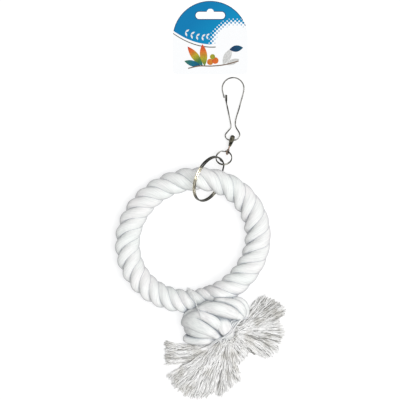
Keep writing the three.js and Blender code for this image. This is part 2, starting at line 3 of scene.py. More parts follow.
import bpy
import numpy as np
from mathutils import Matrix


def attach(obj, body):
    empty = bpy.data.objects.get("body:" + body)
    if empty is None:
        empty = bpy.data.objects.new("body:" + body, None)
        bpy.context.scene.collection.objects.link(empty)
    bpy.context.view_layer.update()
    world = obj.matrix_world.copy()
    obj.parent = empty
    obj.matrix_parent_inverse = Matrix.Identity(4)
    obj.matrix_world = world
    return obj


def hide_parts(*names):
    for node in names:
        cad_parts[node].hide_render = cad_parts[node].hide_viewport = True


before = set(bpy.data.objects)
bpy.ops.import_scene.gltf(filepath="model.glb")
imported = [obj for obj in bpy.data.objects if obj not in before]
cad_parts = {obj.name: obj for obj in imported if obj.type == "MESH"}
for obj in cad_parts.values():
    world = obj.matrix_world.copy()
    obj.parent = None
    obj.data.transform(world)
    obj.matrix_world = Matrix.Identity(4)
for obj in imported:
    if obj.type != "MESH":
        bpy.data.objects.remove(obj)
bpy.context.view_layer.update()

# Scale and picture
MM = 0.001
PICTURE = 400  # pixels on a side
PIXEL = 1.09  # mm
PIXEL_X = 201  # the pixel over the origin
PIXEL_Y = 200
LENS = 800
SENSOR = 36

# Rope, as in the CAD source
ROPE_DIAMETER = 26.7
PRESSED_FLAT = 0.6
RING_CENTRE = (-9.2, -43.4)
RING_RADIUS = 68.6
RING_OVAL = 3.3
RING_OVAL_ANGLE = 24.4
RING_RIGHT_END = -74
RING_LEFT_END = 299
RING_TOP = 78
RING_TOP_SPREAD = 45
RING_TOP_LIFT = 5.26
RING_KNOT_SPREAD = 75

# Rope, seen closer
STRANDS = 3
# Creases between the strands: degrees round the ring, and the crease's number from the right end
CREASES = ((-57, 0.1), (66.3, 10.1), (125.4, 14.25), (187, 19.3), (273, 27.2))
WIDER_AT_SIDES = 1.1  # mm on the diameter
WIDER_AT_RIGHT = 0.5
WIDER_ALL_ROUND = 0.3
STRAND_GAP = 0.1
GROOVE_DEPTH = 4.2
GROOVE_FILL = 0.8  # how much of a groove is pressed flat where it faces right
FILL_FROM = -0.6  # where that starts, on a scale from -1 for left to 1 for right
RING_STEPS = 520
BACK_STEPS = 44  # across the rounded back of a strand
YARNS_ACROSS = 11
YARN_RELIEF = 0.2
YARN_LAY = 60  # length of rope over which a yarn crosses a strand's back
BACK_EDGE = 0.98  # the yarns' relief stops at this share of the way from a back's middle to its edge
LEFT_END_LIFT = 2
RIGHT_END_LIFT = 9
RIGHT_END_DIP = 2.2  # how far the right end has turned down where the two meet
RIGHT_END_EXTRA = 6  # degrees that the right end runs on
RIGHT_HALF_END = 90  # degrees
DIP_LENGTH = 6
DIP_END = -8  # the right end stops this far behind the face where the two meet
ENDS_MEET = (11, -102.5)
ENDS_MEET_ANGLE = 52.4


# Places
CURVE_STEPS = 40  # between two points of a smooth line, before it is spread evenly


def place(px, py, height=0.0):
    """A pixel of the picture and a height in mm, as a point in mm."""
    return np.array(((px - PIXEL_X) * PIXEL, (PIXEL_Y - py) * PIXEL, height))


def unit(vectors):
    return vectors / np.linalg.norm(vectors, axis=-1, keepdims=True)


def run_along(points):
    """The length run from the first point to each of the points."""
    return np.concatenate(([0], np.cumsum(np.linalg.norm(np.diff(points, axis=0), axis=1))))


def spread_along(points, count):
    """count points at even steps on a smooth line through the given ones."""
    points = np.asarray(points, dtype=float)
    padded = np.vstack((2 * points[0] - points[1], points, 2 * points[-1] - points[-2]))
    share = np.linspace(0, len(points) - 1, CURVE_STEPS * (len(points) - 1) + 1)
    k = np.minimum(share.astype(int), len(points) - 2)
    t = (share - k)[:, None]
    p0, p1, p2, p3 = (padded[k + i] for i in range(4))
    curve = 0.5 * (2 * p1 + (p2 - p0) * t + (2 * p0 - 5 * p1 + 4 * p2 - p3) * t**2
                   + (3 * p1 - p0 - 3 * p2 + p3) * t**3)
    run = run_along(curve[:, :3])
    even = np.linspace(0, run[-1], count)
    return np.column_stack([np.interp(even, run, curve[:, i]) for i in range(curve.shape[1])])


def frames_along(points, reference):
    """The two directions across a line, the first one nearest to the reference, and the length run."""
    along = unit(np.gradient(points, axis=0))
    reference = np.broadcast_to(reference, points.shape)
    first = unit(reference - np.sum(reference * along, axis=1, keepdims=True) * along)
    return first, np.cross(along, first), run_along(points)


# Meshes
def in_scene(name, data):
    made = bpy.data.objects.new(name, data)
    bpy.context.collection.objects.link(made)
    return made


def new_object(name, vertices, faces, values=None):
    """A smooth mesh object from points in mm, with a named number for each point."""
    mesh = bpy.data.meshes.new(name)
    mesh.from_pydata((np.asarray(vertices) * MM).tolist(), [], faces)
    for key, numbers in (values or {}).items():
        layer = mesh.attributes.new(key, "FLOAT", "POINT")
        layer.data.foreach_set("value", np.asarray(numbers, dtype=np.float32))
    mesh.polygons.foreach_set("use_smooth", [True] * len(mesh.polygons))
    mesh.update()
    return in_scene(name, mesh)


def rings_round(centre, a, b, first, second):
    """Points at a and b along the two directions across a line, none of them under the floor."""
    rings = centre[:, None, :] + a[..., None] * first[:, None, :] + b[..., None] * second[:, None, :]
    rings[..., 2] = np.maximum(rings[..., 2], 0)
    return rings


def skin_faces(count, sides, offset=0, loop=False):
    """Quads over count rings of points, and a cap at each end unless it is a loop."""
    faces = []
    for j in range(count if loop else count - 1):
        a = offset + j * sides
        b = offset + ((j + 1) % count) * sides
        faces.extend((a + i, a + (i + 1) % sides, b + (i + 1) % sides, b + i) for i in range(sides))
    if not loop:
        last = offset + (count - 1) * sides
        faces.append(tuple(range(offset + sides - 1, offset - 1, -1)))
        faces.append(tuple(range(last, last + sides)))
    return faces


def finish_piece(piece, body, slot, material, *nodes):
    piece.data.materials.append(material)
    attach(piece, body)
    if nodes:
        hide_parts(*nodes)
    return piece


# Material nodes
def new_material(name, color, roughness, metallic=0.0, sheen=0.0, specular=0.5):
    """A material, its shader and a function that adds a node to it."""
    material = bpy.data.materials.new(name)
    material.use_nodes = True
    tree = material.node_tree
    shader = tree.nodes["Principled BSDF"]
    shader.inputs["Base Color"].default_value = (*color, 1)
    shader.inputs["Roughness"].default_value = roughness
    shader.inputs["Metallic"].default_value = metallic
    shader.inputs["Sheen Weight"].default_value = sheen
    shader.inputs["Specular IOR Level"].default_value = specular

    def add(kind, links=None, **settings):
        node = tree.nodes.new(kind)
        for key, value in settings.items():
            if key in node.inputs:
                node.inputs[key].default_value = value
            else:
                setattr(node, key, value)
        for key, source in (links or {}).items():
            tree.links.new(source, node.inputs[key])
        return node

    return material, shader, add, tree.links.new


def math_node(add, operation, *values):
    """A Math node. Each value is a number or another node's output."""
    node = add("ShaderNodeMath", operation=operation)
    for k, value in enumerate(values):
        if isinstance(value, (int, float)):
            node.inputs[k].default_value = value
        else:
            node.id_data.links.new(value, node.inputs[k])
    return node.outputs[0]


def ramp(add, source, *stops):
    """A colour ramp from (position, colour) stops."""
    node = add("ShaderNodeValToRGB", {"Fac": source})
    elements = node.color_ramp.elements
    while len(elements) < len(stops):
        elements.new(0.5)
    for element, (position, color) in zip(elements, stops):
        element.position = position
        element.color = (*color, 1)
    return node.outputs[0]


# Sockets of the Mix node for a factor and two colours, and for the result
MIX_INPUTS = (0, 6, 7)
MIX_OUTPUT = 2
WHITE = (1, 1, 1)
HOLLOW_SAMPLES = 12


def mixed(add, factor, first, second, blend="MIX"):
    node = add("ShaderNodeMix", data_type="RGBA", blend_type=blend)
    for index, value in zip(MIX_INPUTS, (factor, first, second)):
        if isinstance(value, (int, float)):
            node.inputs[index].default_value = value
        elif isinstance(value, tuple):
            node.inputs[index].default_value = (*value, 1)
        else:
            node.id_data.links.new(value, node.inputs[index])
    return node.outputs[MIX_OUTPUT]


def multiplied(add, color, *shades):
    """A colour times each of the shades."""
    for shade in shades:
        color = mixed(add, 1.0, color, shade, "MULTIPLY")
    return color


def attribute(add, name):
    """The number of that name that a mesh has for each point."""
    return add("ShaderNodeAttribute", attribute_name=name).outputs["Fac"]


def noise(add, coordinates, scale, detail, roughness=0.5):
    settings = {"Scale": scale, "Detail": detail, "Roughness": roughness}
    return add("ShaderNodeTexNoise", {"Vector": coordinates}, **settings).outputs["Fac"]


def axes_in_mm(add, coordinates, axes):
    spot = add("ShaderNodeSeparateXYZ", {"Vector": coordinates})
    return [math_node(add, "DIVIDE", spot.outputs[axis], MM) for axis in axes]


def distance_node(add, x, y, centre):
    dx = math_node(add, "SUBTRACT", x, float(centre[0]))
    dy = math_node(add, "SUBTRACT", y, float(centre[1]))
    square = math_node(add, "ADD", math_node(add, "MULTIPLY", dx, dx), math_node(add, "MULTIPLY", dy, dy))
    return math_node(add, "SQRT", square)


def painted_hollow_shade(add, distance, *stops):
    """Painted shade: a colour that is greyer where the surface is hollow, up to a distance in mm."""
    occlusion = add("ShaderNodeAmbientOcclusion", Distance=distance * MM, samples=HOLLOW_SAMPLES)
    return ramp(add, occlusion.outputs["AO"], *stops)


def add_bump(add, link, shader, height, strength, distance):
    """A fine relief whose distance is in mm."""
    bump = add("ShaderNodeBump", {"Height": height}, Strength=strength, Distance=distance * MM)
    link(bump.outputs[0], shader.inputs["Normal"])


# Cotton rope: white fibres that run along each strand, with painted shade in the grooves, hollow places and
# sides
COTTON = (0.8, 0.8, 0.78)
FIBRES_ACROSS = 4.5  # how finely the fibres part across a strand's back, and along it
FIBRES_ALONG = 0.09
FIBRES = (1.6, 5, 0.62)  # a noise's scale, detail and roughness
FUZZ = (900, 3)
FUZZ_SHARE = 0.35  # the fuzz's relief, as a share of the fibres'
COTTON_BUMP = (0.5, 0.6)  # strength, and depth in mm
COTTON_PATCHES = (38, 2)
NEAR_HOLLOW = 7  # mm
WIDE_HOLLOW = 20
# Positions from 0 to 1 and their colours: from a strand's middle to its edge, over the fibres, in near and
# wide hollow places from deep to open, and over the patches. The greys at a strand's edge and in the hollow
# places are painted shade
BACK_COLORS = ((0.0, (0.94, 0.94, 0.93)), (0.86, (0.92, 0.92, 0.91)), (0.97, (0.84, 0.845, 0.85)),
               (1.0, (0.7, 0.71, 0.72)))
FIBRE_COLORS = ((0.32, (0.84, 0.845, 0.85)), (0.58, WHITE))
NEAR_COLORS = ((0.1, (0.66, 0.67, 0.69)), (0.5, (0.93, 0.935, 0.945)), (0.8, WHITE))
WIDE_COLORS = ((0.2, (0.66, 0.7, 0.76)), (0.5, (0.95, 0.96, 0.97)), (0.7, WHITE))
PATCH_COLORS = ((0.35, (0.975, 1.0, 0.985)), (0.65, (1.0, 0.985, 0.985)))
SIDEWAYS = 0.3  # how far up a surface faces
TILTED = 0.45
LEVEL = 0.62
SIDE_SHADE_TINT = (1, 1.01, 1.03)  # tint of the painted shade where the surface faces sideways


def cotton_fibres(add, across):
    spot = add("ShaderNodeCombineXYZ", {
        "X": math_node(add, "MULTIPLY", across, FIBRES_ACROSS),
        "Y": math_node(add, "MULTIPLY", attribute(add, "along"), FIBRES_ALONG),
        "Z": attribute(add, "strand"),
    })
    return noise(add, spot.outputs[0], *FIBRES)


def painted_side_shade(add, left):
    """Painted shade: grey where the surface faces sideways. left is how much of the colour is left there."""
    normal = add("ShaderNodeTexCoord").outputs["Normal"]
    upward = add("ShaderNodeSeparateXYZ", {"Vector": normal}).outputs["Z"]
    nearly = (left + 2) / 3
    return ramp(add, upward, (SIDEWAYS, tuple(left * part for part in SIDE_SHADE_TINT)),
                (TILTED, (nearly, nearly, nearly)), (LEVEL, WHITE))


def cotton_material(name, side_shade):
    """side_shade is how much of the colour is left where the surface faces sideways."""
    material, shader, add, link = new_material(name, COTTON, 0.9, sheen=0.25)
    across = attribute(add, "across")
    fibres = cotton_fibres(add, across)
    coordinates = add("ShaderNodeTexCoord").outputs["Object"]
    body = ramp(add, math_node(add, "ABSOLUTE", across), *BACK_COLORS)
    streaks = ramp(add, fibres, *FIBRE_COLORS)
    near = painted_hollow_shade(add, NEAR_HOLLOW, *NEAR_COLORS)
    wide = painted_hollow_shade(add, WIDE_HOLLOW, *WIDE_COLORS)
    tint = ramp(add, noise(add, coordinates, *COTTON_PATCHES), *PATCH_COLORS)
    color = multiplied(add, body, streaks, near, wide, painted_side_shade(add, side_shade), tint)
    link(color, shader.inputs["Base Color"])
    fuzz = math_node(add, "MULTIPLY", noise(add, coordinates, *FUZZ), FUZZ_SHARE)
    add_bump(add, link, shader, math_node(add, "ADD", fibres, fuzz), *COTTON_BUMP)
    return material


# Frayed cotton: each yarn has its own tone, darker with painted shade where it lies deep and between yarns
YARN_COTTON = (0.78, 0.77, 0.74)
TONE_COLORS = ((0.0, (0.3, 0.295, 0.28)), (0.42, (0.84, 0.835, 0.815)), (0.7, (1, 0.995, 0.985)))
YARN_HOLLOW = 1.8  # mm
YARN_HOLLOW_COLORS = ((0.05, (0.2, 0.195, 0.19)), (0.3, (0.86, 0.86, 0.85)), (0.5, WHITE))
YARN_PATCHES = (75, 3, 0.6)
YARN_PATCH_COLORS = ((0.36, (0.76, 0.75, 0.72)), (0.52, WHITE))
TWIST_SCALE = 1.1
TWIST_DISTORTION = 2.0
TWIST_COLORS = ((0.0, (0.94, 0.94, 0.94)), (1.0, WHITE))
YARN_FUZZ = (1400, 2)
YARN_BUMP = (0.4, 0.4)


def frayed_material():
    material, shader, add, link = new_material("frayed_cotton_yarn", YARN_COTTON, 0.92, sheen=0.3)
    coordinates = add("ShaderNodeTexCoord").outputs["Object"]
    color = ramp(add, attribute(add, "tone"), *TONE_COLORS)
    shade = painted_hollow_shade(add, YARN_HOLLOW, *YARN_HOLLOW_COLORS)
    patchy = ramp(add, noise(add, coordinates, *YARN_PATCHES), *YARN_PATCH_COLORS)
    run = add("ShaderNodeCombineXYZ", {"X": attribute(add, "along")}).outputs[0]
    twist = add("ShaderNodeTexWave", {"Vector": run}, Scale=TWIST_SCALE, Distortion=TWIST_DISTORTION)
    twisted = ramp(add, twist.outputs["Fac"], *TWIST_COLORS)
    link(multiplied(add, color, shade, patchy, twisted), shader.inputs["Base Color"])
    add_bump(add, link, shader, noise(add, coordinates, *YARN_FUZZ), *YARN_BUMP)
    return material


# Plated wire: bright metal with duller patches, and places painted dark, a painted reflection of dark
# surroundings
PATCH_SCALE = 120
PATCH_ROUGHNESS = (4, 0.6)  # the patches' detail and roughness
DULL_BELOW = 0.42  # of the patches' range from 0 to 1
BRIGHT_ABOVE = 0.6
PAINTED_DARK_TINT = (1, 0.97, 0.83)  # tint of a place painted dark, a painted reflection of dark surroundings
PAINTED_DARK_EDGE = 3  # mm over which such a place ends
ROUGHNESS_SPREAD = 0.2  # what the patches add to the roughness, at most
PLATE_GRAIN = (2600, 2)
PLATE_BUMP = (0.12, 0.2)


def plated_material(name, bright, dull, roughness, patch_scale=PATCH_SCALE, painted_dark=()):
    """painted_dark lists pixels, radii in mm and what is left of the brightness there, a painted reflection
    of dark surroundings.
    """
    material, shader, add, link = new_material(name, bright, roughness, metallic=1.0)
    coordinates = add("ShaderNodeTexCoord").outputs["Object"]
    patches = noise(add, coordinates, patch_scale, *PATCH_ROUGHNESS)
    color = ramp(add, patches, (DULL_BELOW, dull), (BRIGHT_ABOVE, bright))
    x, y = axes_in_mm(add, coordinates, "XY")
    for px, py, radius, left in painted_dark:
        inside = math_node(add, "SUBTRACT", radius, distance_node(add, x, y, place(px, py)))
        dark = tuple(left * part for part in PAINTED_DARK_TINT)
        color = mixed(add, math_node(add, "DIVIDE", inside, PAINTED_DARK_EDGE), color, dark)
    link(color, shader.inputs["Base Color"])
    link(math_node(add, "MULTIPLY_ADD", patches, ROUGHNESS_SPREAD, roughness), shader.inputs["Roughness"])
    add_bump(add, link, shader, noise(add, coordinates, *PLATE_GRAIN), *PLATE_BUMP)
    return material


# Header card, white with a blue field that ends in a halftone. In mm, with places as in the CAD source.
CARD_CENTRE = (10.2, 175.9)
CARD_RADIUS = 41.1
CARD_TOP = 0.6
RIM = 0.9  # a darker line round the field and the slot
SLOT_MIDDLE = (10.2, 201.2)
SLOT_HALF = (12.1, 3.9)  # half the straight part, and the round ends
FIELD_LOW = (12, 169.5)  # the field's lowest point
FIELD_CURVE = 0.00835
FADE_CENTRE = (37, 169)
FADE_FROM = 30  # the halftone's first dots, and where it has become white
FADE_TO = 20.5
DOT_PITCH = 3.1
LINE_DROP = 2.9  # a thin grey line under the field, a painted shadow
LINE_HALF = 0.55
LINE_END = 16
FIELD_DEEP = (0.0, 0.19, 0.43)
FIELD_LIGHT = (0.0, 0.31, 0.57)
FIELD_RIM = (0.01, 0.08, 0.19)
CARD_WHITE = (0.93, 0.935, 0.94)
SHADOW_LINE_GREY = (0.12, 0.115, 0.095)
BLUE_RUN = 90  # mm over which the field goes from deep to light, down to the right
BLUE_SHIFT = 2.35
DOT_WAVE = 0.25  # brings the sum of two waves to half a step each way
DOT_EDGE = 0.5
PAPER_GRAIN = (1500, 2)
PAPER_COLORS = ((0.3, (0.96, 0.96, 0.96)), (0.7, WHITE))
DEEP_AT = 0.1
LIGHT_AT = 0.95


def both(add, first, second):
    """1 where two tests hold."""
    return math_node(add, "MULTIPLY", first, second)


def halftone(add, x, y):
    """1 outside the white dots, which grow until they have covered the field."""
    fade = math_node(add, "SUBTRACT", FADE_FROM, distance_node(add, x, y, FADE_CENTRE))
    fade = math_node(add, "DIVIDE", fade, FADE_FROM - FADE_TO)
    turns = math.pi * math.sqrt(2) / DOT_PITCH
    wave_up = math_node(add, "COSINE", math_node(add, "MULTIPLY", math_node(add, "ADD", x, y), turns))
    wave_down = math_node(add, "COSINE", math_node(add, "MULTIPLY", math_node(add, "SUBTRACT", x, y), turns))
    dots = math_node(add, "MULTIPLY", math_node(add, "ADD", wave_up, wave_down), DOT_WAVE)
    return math_node(add, "LESS_THAN", math_node(add, "ADD", dots, fade), DOT_EDGE)


def card_rim(add, x, y):
    """1 close to the slot and to the card's round edge."""
    from_middle = math_node(add, "ABSOLUTE", math_node(add, "SUBTRACT", x, SLOT_MIDDLE[0]))
    past_slot = math_node(add, "MAXIMUM", math_node(add, "SUBTRACT", from_middle, SLOT_HALF[0]), 0)
    to_slot = distance_node(add, past_slot, y, (0, SLOT_MIDDLE[1]))
    near_slot = math_node(add, "LESS_THAN", to_slot, SLOT_HALF[1] + RIM)
    near_edge = math_node(add, "GREATER_THAN", distance_node(add, x, y, CARD_CENTRE), CARD_RADIUS - RIM)
    return math_node(add, "MAXIMUM", near_slot, near_edge)


def card_blue(add, x, y):
    slope = math_node(add, "MULTIPLY_ADD", math_node(add, "SUBTRACT", x, y), 1 / BLUE_RUN, BLUE_SHIFT)
    blue = ramp(add, slope, (DEEP_AT, FIELD_DEEP), (LIGHT_AT, FIELD_LIGHT))
    return mixed(add, card_rim(add, x, y), blue, FIELD_RIM)


def card_paper(add, x, above, on_top):
    """White, with a thin painted shadow line under the field."""
    from_line = math_node(add, "ABSOLUTE", math_node(add, "ADD", above, LINE_DROP))
    line = both(add, math_node(add, "LESS_THAN", from_line, LINE_HALF), on_top)
    line = both(add, line, math_node(add, "LESS_THAN", x, LINE_END))
    return mixed(add, line, CARD_WHITE, SHADOW_LINE_GREY)


def card_material():
    material, shader, add, link = new_material("printed_card", CARD_WHITE, 0.45, specular=0.05)
    coordinates = add("ShaderNodeTexCoord").outputs["Object"]
    x, y, z = axes_in_mm(add, coordinates, "XYZ")
    on_top = math_node(add, "GREATER_THAN", z, CARD_TOP / 2)
    from_low = math_node(add, "SUBTRACT", x, FIELD_LOW[0])
    curve = math_node(add, "MULTIPLY", math_node(add, "MULTIPLY", from_low, from_low), FIELD_CURVE)
    above = math_node(add, "SUBTRACT", math_node(add, "SUBTRACT", y, curve), FIELD_LOW[1])
    field = both(add, on_top, math_node(add, "GREATER_THAN", above, 0))
    field = both(add, field, halftone(add, x, y))
    color = mixed(add, field, card_paper(add, x, above, on_top), card_blue(add, x, y))
    shade = ramp(add, noise(add, coordinates, *PAPER_GRAIN), *PAPER_COLORS)
    link(multiplied(add, color, shade), shader.inputs["Base Color"])
    return material


# Plain motifs on the card: leaves, a twig and berries. Inks run from 0 to 1 along one scale.
INKS = (
    (0.0, (0.62, 0.62, 0.6)), (0.12, (0.93, 0.93, 0.93)), (0.14, (0.93, 0.9, 0.85)),
    (0.25, (0.6, 0.02, 0.03)), (0.38, (0.75, 0.17, 0.03)), (0.5, (0.45, 0.4, 0.03)),
    (0.62, (0.06, 0.2, 0.05)), (0.75, (0.01, 0.16, 0.25)), (0.88, (0.01, 0.04, 0.12)),
    (1.0, (0.2, 0.13, 0.09)),
)
# x, y, length, width, direction in degrees, ink at the stem and at the tip
LEAVES = [
    (2, 146, 27, 8, 128, 0.75, 0.25), (4, 146, 24, 8, 96, 0.62, 0.27), (0, 146, 19, 6.5, 163, 0.85, 0.65),
    (24, 147.5, 20, 8, 62, 0.0, 0.05), (27, 147.5, 16, 6, 22, 0.03, 0.0), (31, 164, 15, 7, 8, 0.88, 0.82),
]
WHITE_LEAVES = [(-17, 183, 5), (-11, 180.5, 5), (-5, 178.7, 4.5), (1, 178, 4.5), (6, 179, 4)]  # x, y, length
WHITE_LEAF_WIDTH = 1.9
WHITE_LEAF_TILTS = (35, -70)
WHITE_INK = 0.11
BERRIES = [(10, 150.5, 3.4, 0.38), (15.5, 152, 3.6, 0.34), (12.6, 156.2, 2.8, 0.5)]  # x, y, radius, ink
BERRY_SHADE = 0.05  # ink from one side of a berry to the other
TWIG = [(-14, 143.5), (-2, 146), (12, 146), (26, 147.5), (41, 151.5)]
TWIG_HALF = 0.6
ROUND = 0.5
PRINT_LIFT = 0.05
PRINT_LAYER = 0.005
OUTLINE_STEPS = 20
INK_GRAIN = (700, 3)
INK_GRAIN_COLORS = ((0.35, (0.75, 0.75, 0.75)), (0.65, WHITE))


def ink_material():
    material, shader, add, link = new_material("card_inks", (0.5, 0.5, 0.5), 0.45, specular=0.05)
    inks = ramp(add, attribute(add, "ink"), *INKS)
    grain = noise(add, add("ShaderNodeTexCoord").outputs["Object"], *INK_GRAIN)
    shade = ramp(add, grain, *INK_GRAIN_COLORS)
    link(multiplied(add, inks, shade), shader.inputs["Base Color"])
    return material


def leaf_strip(x, y, length, width, degrees, ink_from, ink_to, pointed=1.0):
    """Left and right points of a leaf, and the ink of each pair. A leaf that is pointed by 0.5 is round."""
    share = (1 - np.cos(np.linspace(0, np.pi, OUTLINE_STEPS))) / 2
    half = width / 2 * (4 * share * (1 - share)) ** pointed
    along = np.array((math.cos(math.radians(degrees)), math.sin(math.radians(degrees))))
    middle = np.array((x, y)) + np.outer(share * length, along)
    across = half[:, None] * np.array((-along[1], along[0]))
    return middle + across, middle - across, ink_from + (ink_to - ink_from) * share


def motif_strips():
    strips = [leaf_strip(*leaf) for leaf in LEAVES]
    for x, y, length in WHITE_LEAVES:
        for tilt in WHITE_LEAF_TILTS:
            strips.append(leaf_strip(x, y, length, WHITE_LEAF_WIDTH, tilt, WHITE_INK, WHITE_INK))
    for x, y, size, ink in BERRIES:
        strips.append(leaf_strip(x - size, y, 2 * size, 2 * size, 0, ink, ink + BERRY_SHADE, ROUND))
    twig = spread_along(np.column_stack((TWIG, np.zeros(len(TWIG)))), OUTLINE_STEPS)[:, :2]
    strips.append((twig + (0, TWIG_HALF), twig - (0, TWIG_HALF), np.ones(OUTLINE_STEPS)))
    return strips


def card_print(material):
    """Each motif lies a layer higher than the one before, so that none cuts another."""
    vertices = []
    faces = []
    inks = []
    for layer, (left, right, ink) in enumerate(motif_strips()):
        start = len(vertices)
        height = CARD_TOP + PRINT_LIFT + PRINT_LAYER * layer
        for k in range(OUTLINE_STEPS):
            vertices += [(*left[k], height), (*right[k], height)]
            inks += [ink[k], ink[k]]
        faces += [(start + 2 * k, start + 2 * k + 1, start + 2 * k + 3, start + 2 * k + 2)
                  for k in range(OUTLINE_STEPS - 1)]
    piece = new_object("card_motifs", vertices, faces, {"ink": inks})
    finish_piece(piece, "card", "printed_card", material)


# Rope ring
def cotton_piece(name, rings, across, run, strand, material, loop, *nodes):
    """A piece of rope from rings of points, with the numbers that its material reads at each point."""
    count, sides, _ = rings.shape
    values = {
        "across": np.tile(across, count),
        "along": np.repeat(run, sides),
        "strand": np.full(count * sides, float(strand)),
    }
    piece = new_object(name, rings.reshape(-1, 3), skin_faces(count, sides, loop=loop), values)
    return finish_piece(piece, "rope", "cotton_rope", material, *nodes)


def hump(angle, at, spread):
    share = np.abs((angle - at) / spread)
    return np.where(share < 1, np.cos(np.pi / 2 * np.minimum(share, 1)) ** 2, 0)


def ring_route(angles):
    turned = np.radians(angles)
    radius = RING_RADIUS + RING_OVAL * np.cos(2 * (turned - math.radians(RING_OVAL_ANGLE)))
    height = (ROPE_DIAMETER / 2 - PRESSED_FLAT
              + RING_TOP_LIFT * hump(angles, RING_TOP, RING_TOP_SPREAD)
              + LEFT_END_LIFT * hump(angles, RING_LEFT_END, RING_KNOT_SPREAD)
              + RIGHT_END_LIFT * hump(angles, RING_RIGHT_END, RING_KNOT_SPREAD))
    x = RING_CENTRE[0] + radius * np.cos(turned)
    y = RING_CENTRE[1] + radius * np.sin(turned)
    return np.column_stack((x, y, height))


def strand_outline(rope_diameter):
    """Points of one strand's section, and how far across its back each one is, from -1 to 1."""
    half = math.pi / STRANDS
    shift = STRAND_GAP / 2 / math.sin(half)
    outer = rope_diameter / 2 - shift
    groove = outer - GROOVE_DEPTH
    back_centre = (outer**2 - groove**2) / (2 * (outer - groove * math.cos(half)))
    back_radius = outer - back_centre
    sweep = math.atan2(groove * math.sin(half), groove * math.cos(half) - back_centre)
    across = np.linspace(-1, 1, BACK_STEPS + 1)
    x = shift + back_centre + back_radius * np.cos(across * sweep)
    y = back_radius * np.sin(across * sweep)
    x = np.concatenate(([shift], x))
    y = np.concatenate(([0], y))
    return x, y, np.concatenate(([1], across))


def yarn_relief(across, run):
    """Low ridges of the yarns on a strand's back, in mm."""
    wave = np.abs(np.sin(np.pi * YARNS_ACROSS * (across + run / YARN_LAY) / 2))
    return YARN_RELIEF * (wave - 1) * (np.abs(across) < BACK_EDGE)


def smooth_steps(x, marks):
    """Values on a smooth rising line through marks, straight past its ends."""
    at, value = (np.array(column, dtype=float) for column in zip(*marks))
    slope = np.diff(value) / np.diff(at)
    slopes = np.concatenate((slope[:1], 2 / (1 / slope[1:] + 1 / slope[:-1]), slope[-1:]))
    k = np.clip(np.searchsorted(at, x) - 1, 0, len(at) - 2)
    width = at[k + 1] - at[k]
    t = np.clip((x - at[k]) / width, 0, 1)
    inside = (value[k] * (1 + 2 * t) * (1 - t) ** 2 + value[k + 1] * t**2 * (3 - 2 * t)
              + width * (slopes[k] * t * (1 - t) ** 2 - slopes[k + 1] * t**2 * (1 - t)))
    return inside + slopes[0] * np.minimum(x - at[0], 0) + slopes[-1] * np.maximum(x - at[-1], 0)


def past_meeting(route):
    """How far each point lies past the face where the rope's two ends meet, in mm."""
    angle = math.radians(ENDS_MEET_ANGLE)
    return (route[:, :2] - ENDS_MEET) @ np.array((math.cos(angle), math.sin(angle)))


def pressed_flat(a, b, first, second, wider):
    """The points of each section, with the grooves filled out where they face right."""
    reach = np.hypot(a, b)
    to_right = (a * first[:, :1] + b * second[:, :1]) / reach
    fill = GROOVE_FILL * np.clip((to_right - FILL_FROM) / (1 - FILL_FROM), 0, 1)
    fill[:, 0] = 0  # the point at the rope's middle stays
    full = (ROPE_DIAMETER + wider[:, None]) / 2
    pressed = 1 + fill * np.maximum(full / reach - 1, 0)
    return a * pressed, b * pressed


def ring_strand(number, material):
    angles = np.linspace(RING_RIGHT_END - RIGHT_END_EXTRA, RING_LEFT_END, RING_STEPS + 1)
    route = ring_route(angles)
    first, second, run = frames_along(route, (0, 0, 1))
    right = angles < RIGHT_HALF_END
    past = past_meeting(route)
    route[:, 2] -= RIGHT_END_DIP * np.maximum(1 - past / DIP_LENGTH, 0) ** 2 * right
    x, y, across = strand_outline(ROPE_DIAMETER)
    turns = smooth_steps(angles, CREASES) / STRANDS + 1 / (2 * STRANDS) + number / STRANDS
    turn = 2 * np.pi * turns[:, None]
    turned = np.radians(angles)
    wider = WIDER_ALL_ROUND + WIDER_AT_SIDES * np.cos(2 * turned) + WIDER_AT_RIGHT * np.cos(turned)
    scale = 1 + (yarn_relief(across[None, :], run[:, None]) + wider[:, None] / 2) / (ROPE_DIAMETER / 2)
    a = (x * np.cos(turn) - y * np.sin(turn)) * scale
    b = (x * np.sin(turn) + y * np.cos(turn)) * scale
    a, b = pressed_flat(a, b, first, second, wider)
    keep = ~right | (past > DIP_END)
    rings = rings_round(route, a, b, first, second)[keep]
    name = f"rope_strand_{number + 1}"
    cotton_piece(name, rings, across, run[keep], number, material, False, f"ring_strand_{number + 1}")


